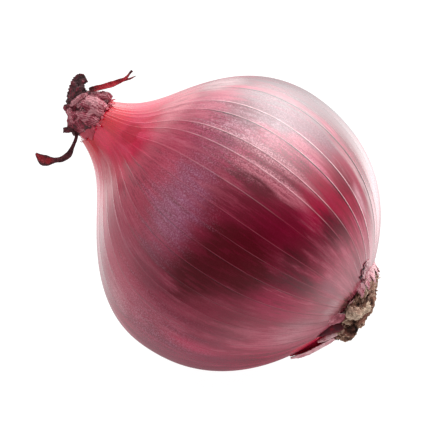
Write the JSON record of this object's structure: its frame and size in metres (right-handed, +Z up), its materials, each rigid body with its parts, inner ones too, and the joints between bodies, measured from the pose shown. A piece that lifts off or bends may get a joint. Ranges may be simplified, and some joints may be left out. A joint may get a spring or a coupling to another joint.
{
  "type": "red onion",
  "caption": "Whole red onion lying on its side: round veined bulb with a pleated neck, withered leaf tuft and strands, corky root plate and a torn lip of skin.",
  "frame": {"origin": "on the table, under the middle of the whole onion's box", "axes": "+Z up; +X along the onion's long way, from the raised neck at -X to the root end at +X"},
  "size_m": [0.0874, 0.0758, 0.0746],
  "materials": {
    "red_skin": "thin glossy red onion skin with fine pale veins",
    "withered_leaf": "dry crumpled leaf, matte",
    "red_dry_leaf": "dry red leaf, matte",
    "dark_dry_leaf": "dry dark leaf, matte",
    "root_cork": "rough dry corky root",
    "pale_skin": "thin pale pink onion skin"
  },
  "bodies": {
    "root": {"bulb": "red_skin", "neck_tuft": "withered_leaf", "forked_strand": "red_dry_leaf", "curled_strand": "dark_dry_leaf", "root_plate": "root_cork", "torn_skin": "pale_skin"}
  },
  "joints": []
}
